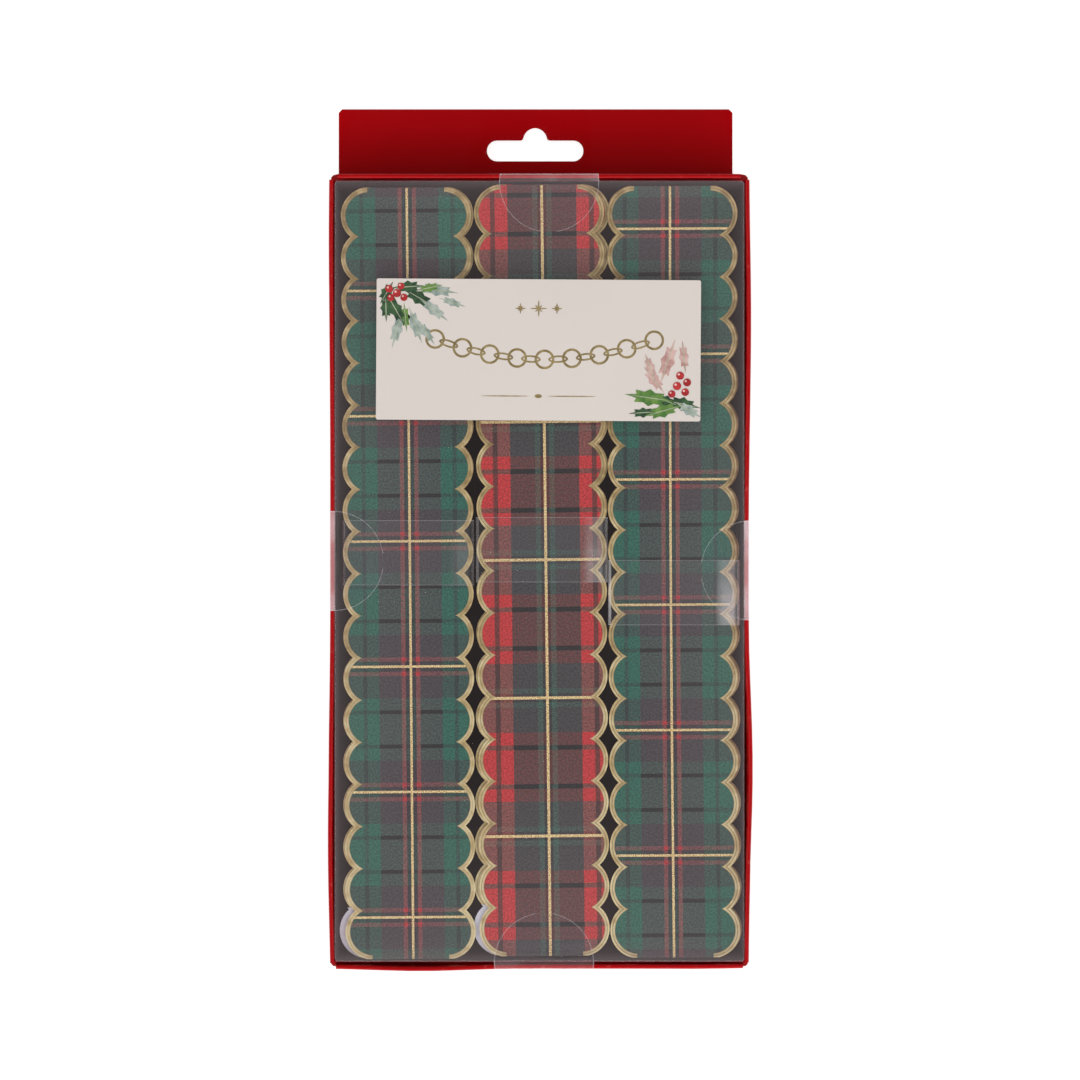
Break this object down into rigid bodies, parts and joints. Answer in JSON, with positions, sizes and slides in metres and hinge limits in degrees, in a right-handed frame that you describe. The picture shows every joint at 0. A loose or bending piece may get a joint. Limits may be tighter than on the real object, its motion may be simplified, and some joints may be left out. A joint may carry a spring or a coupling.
{
  "type": "boxed paper chain set",
  "caption": "Flat red card tray with a hang tab and a clear sealed lid, holding banded stacks of plaid paper chain strips with scalloped gold edges",
  "frame": {"origin": "under the middle of the outer box, on the plane of the tray's underside", "axes": "+X across the pack, +Y along the strips towards the hang tab, +Z out of the clear face"},
  "size_m": [0.1396, 0.2834, 0.0176],
  "materials": {
    "red_card": "glossy red printed card",
    "clear_sheet": "clear glossy folded sheet",
    "green_plaid_card": "green plaid print with gold foil scalloped edges",
    "red_plaid_card": "red plaid print with gold foil scalloped edges",
    "band_film": "clear glossy film",
    "liner_paper": "pale release paper",
    "label_paper": "off-white satin label with gold line ornament and green sprigs",
    "seal_film": "clear glossy round seals"
  },
  "bodies": {
    "root": {"card_tray": "red_card", "clear_lid": "clear_sheet", "green_left_strip_01": "green_plaid_card", "green_left_strip_02": "green_plaid_card", "green_left_strip_03": "green_plaid_card", "green_left_strip_04": "green_plaid_card", "green_left_strip_05": "green_plaid_card", "green_left_strip_06": "green_plaid_card", "green_left_strip_07": "green_plaid_card", "green_left_strip_08": "green_plaid_card", "green_left_strip_09": "green_plaid_card", "green_left_strip_10": "green_plaid_card", "green_left_strip_11": "green_plaid_card", "green_left_band": "band_film", "red_middle_strip_01": "red_plaid_card", "red_middle_strip_02": "red_plaid_card", "red_middle_strip_03": "red_plaid_card", "red_middle_strip_04": "red_plaid_card", "red_middle_strip_05": "red_plaid_card", "red_middle_strip_06": "red_plaid_card", "red_middle_strip_07": "red_plaid_card", "red_middle_strip_08": "red_plaid_card", "red_middle_strip_09": "red_plaid_card", "red_middle_strip_10": "red_plaid_card", "red_middle_strip_11": "red_plaid_card", "red_middle_band": "band_film", "green_right_strip_01": "green_plaid_card", "green_right_strip_02": "green_plaid_card", "green_right_strip_03": "green_plaid_card", "green_right_strip_04": "green_plaid_card", "green_right_strip_05": "green_plaid_card", "green_right_strip_06": "green_plaid_card", "green_right_strip_07": "green_plaid_card", "green_right_strip_08": "green_plaid_card", "green_right_strip_09": "green_plaid_card", "green_right_strip_10": "green_plaid_card", "green_right_strip_11": "green_plaid_card", "green_right_band": "band_film", "green_left_liner": "liner_paper", "red_middle_liner": "liner_paper", "label": "label_paper", "seal_left": "seal_film", "seal_right": "seal_film", "seal_top": "seal_film", "seal_bottom": "seal_film"}
  },
  "joints": []
}
